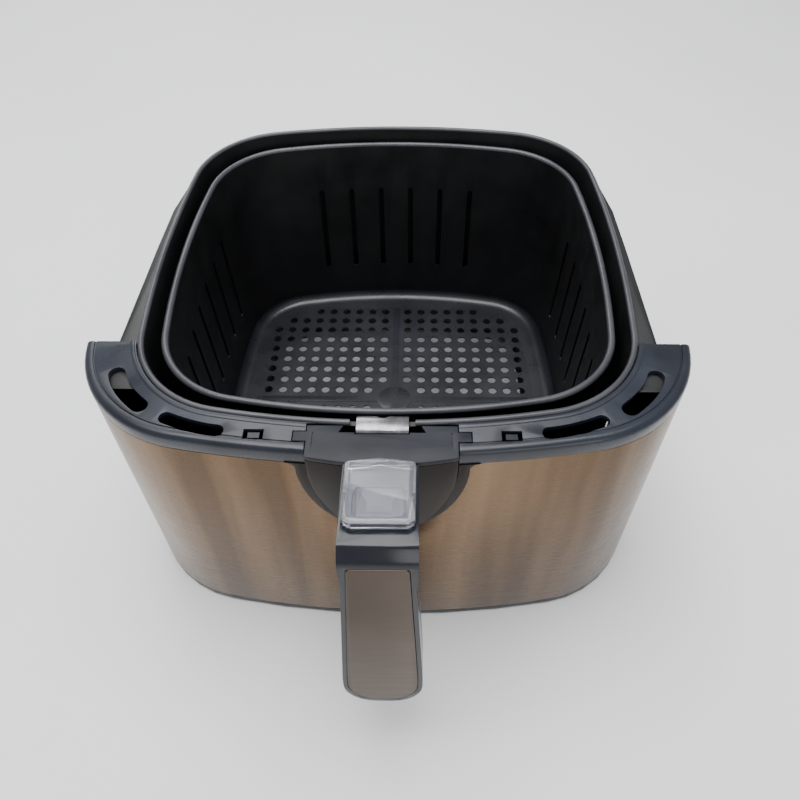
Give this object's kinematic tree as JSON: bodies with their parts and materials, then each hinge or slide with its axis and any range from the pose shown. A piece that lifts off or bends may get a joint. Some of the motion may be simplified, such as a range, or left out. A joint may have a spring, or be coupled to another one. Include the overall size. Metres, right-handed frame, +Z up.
{
  "type": "air fryer drawer",
  "caption": "Square air fryer drawer: drip pan with curved front panel, and a perforated lift-out basket whose handle has a guarded release button.",
  "frame": {"origin": "centre of the pan's flat base, on the table", "axes": "+Z up, +Y towards the drawer's back (into the housing), the handle towards -Y"},
  "size_m": [0.2942, 0.3361, 0.1645],
  "materials": {
    "coated_steel": "satin non-stick coating",
    "black_plastic": "satin moulded",
    "brushed_skin": "champagne bronze, brushed",
    "gloss_bronze": "gloss dark bronze",
    "inlay_metal": "satin bronze grey",
    "bright_steel": "bright",
    "zinc_steel": "zinc plated",
    "grey_plastic": "satin moulded",
    "clear_plastic": "clear polycarbonate"
  },
  "bodies": {
    "drawer": {"pan": "coated_steel", "pan_bracket": "zinc_steel", "fascia_shell": "black_plastic", "fascia_top": "black_plastic", "fascia_skin": "brushed_skin", "recess_bezel": "gloss_bronze", "fascia_screw_left": "zinc_steel", "fascia_screw_right": "zinc_steel"},
    "basket_unit": {"basket": "coated_steel", "handle_strap": "bright_steel", "handle_base": "black_plastic", "base_cover": "gloss_bronze", "handle_front": "black_plastic", "handle_back": "black_plastic", "handle_inlay": "inlay_metal", "button_frame": "grey_plastic", "button_spring": "zinc_steel", "latch_pin": "zinc_steel", "base_screw_left": "zinc_steel", "base_screw_right": "zinc_steel", "arm_screw_left": "zinc_steel", "arm_screw_right": "zinc_steel", "grip_screw_upper": "zinc_steel", "grip_screw_lower": "zinc_steel"},
    "guard": {"button_guard": "clear_plastic"},
    "button": {"release_button": "grey_plastic"},
    "lever": {"latch_lever": "zinc_steel"}
  },
  "joints": [
    {"name": "basket_lift", "type": "slide", "parent": "drawer", "child": "basket_unit", "axis": [0, 0, 1], "range_m": [0, 0.2]},
    {"name": "guard_slide", "type": "slide", "parent": "basket_unit", "child": "guard", "axis": [0, 1, 0], "range_m": [0, 0.0135]},
    {"name": "button_press", "type": "slide", "parent": "basket_unit", "child": "button", "axis": [0, 0, -1], "range_m": [0, 0.004], "stiffness_N_per_m": 400, "springref_m": -0.002, "deforming": ["button_spring"]},
    {"name": "latch_swing", "type": "hinge", "parent": "basket_unit", "child": "lever", "pos_m": [0, -0.1391, 0.149], "axis": [1, 0, 0], "range_deg": [0, 9]}
  ],
  "couplings": [
    {"joint": "latch_swing", "follows": "button_press", "rad_per_m": 39}
  ]
}
